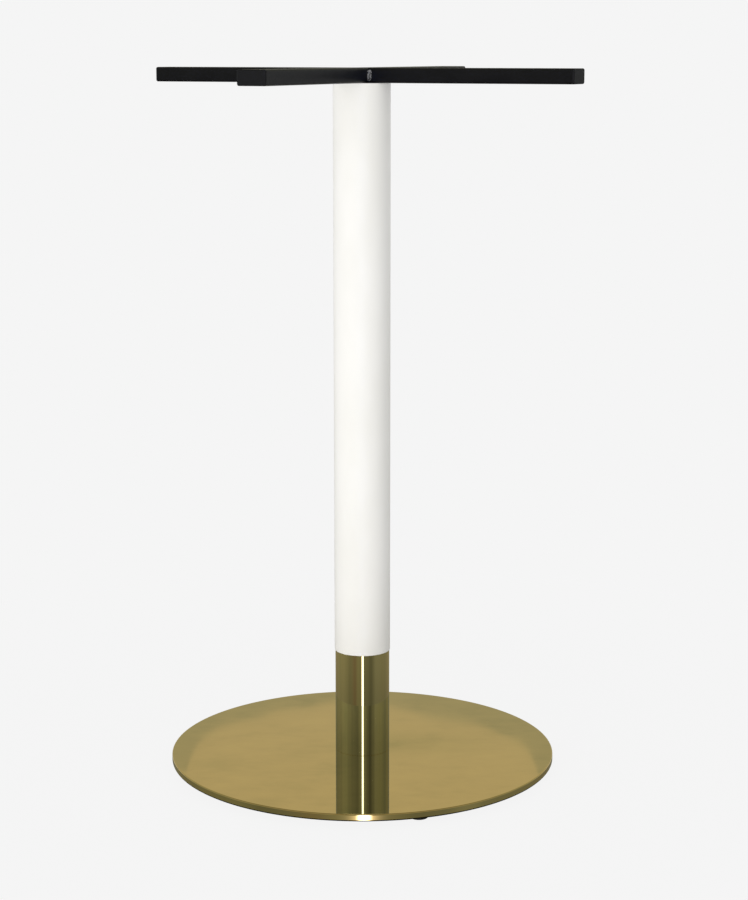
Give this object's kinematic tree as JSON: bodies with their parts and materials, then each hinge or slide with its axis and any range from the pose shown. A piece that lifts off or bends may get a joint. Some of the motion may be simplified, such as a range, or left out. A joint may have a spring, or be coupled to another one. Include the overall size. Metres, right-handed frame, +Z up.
{
  "type": "disc table base",
  "caption": "Pedestal table base: round foot disc with a brass finish cover and sleeve, white tubular column, black cross arms for the table top, and levelling feet.",
  "frame": {"origin": "on the floor under the column's axis, with the feet screwed fully in", "axes": "+Z up along the column; +X and +Y along the cross's arms"},
  "size_m": [0.62, 0.62, 0.973],
  "materials": {
    "brass_finish": "brushed, glossy lacquer",
    "white_coat": "semi gloss powder coat",
    "black_coat": "satin powder coat",
    "plate_coat": "matt powder coat",
    "turned_steel": "turned",
    "zinc_steel": "zinc plated",
    "cap_plastic": "fine moulded texture",
    "pad_plastic": "moulded"
  },
  "bodies": {
    "pedestal": {"base_plate": "plate_coat", "base_cover": "brass_finish", "foot_plug": "turned_steel", "foot_screw_1": "zinc_steel", "foot_screw_2": "zinc_steel", "foot_screw_3": "zinc_steel", "foot_screw_4": "zinc_steel", "sleeve": "brass_finish", "coupling_collar": "turned_steel", "column_tube": "white_coat", "top_spigot": "turned_steel", "tie_rod": "zinc_steel", "rod_washer": "zinc_steel", "rod_spring_washer": "zinc_steel", "rod_nut": "zinc_steel", "cross_bar": "black_coat", "cross_arm_1": "black_coat", "cross_arm_2": "black_coat", "end_cap_1": "cap_plastic", "end_cap_2": "cap_plastic", "end_cap_3": "cap_plastic", "end_cap_4": "cap_plastic"},
    "glide_1": {"glide_pad_1": "pad_plastic", "glide_stud_1": "zinc_steel"},
    "glide_2": {"glide_pad_2": "pad_plastic", "glide_stud_2": "zinc_steel"},
    "glide_3": {"glide_pad_3": "pad_plastic", "glide_stud_3": "zinc_steel"},
    "glide_4": {"glide_pad_4": "pad_plastic", "glide_stud_4": "zinc_steel"}
  },
  "joints": [
    {"name": "glide_1_level", "type": "slide", "parent": "pedestal", "child": "glide_1", "axis": [0, 0, -1], "range_m": [0, 0.0045]},
    {"name": "glide_2_level", "type": "slide", "parent": "pedestal", "child": "glide_2", "axis": [0, 0, -1], "range_m": [0, 0.0045]},
    {"name": "glide_3_level", "type": "slide", "parent": "pedestal", "child": "glide_3", "axis": [0, 0, -1], "range_m": [0, 0.0045]},
    {"name": "glide_4_level", "type": "slide", "parent": "pedestal", "child": "glide_4", "axis": [0, 0, -1], "range_m": [0, 0.0045]}
  ]
}
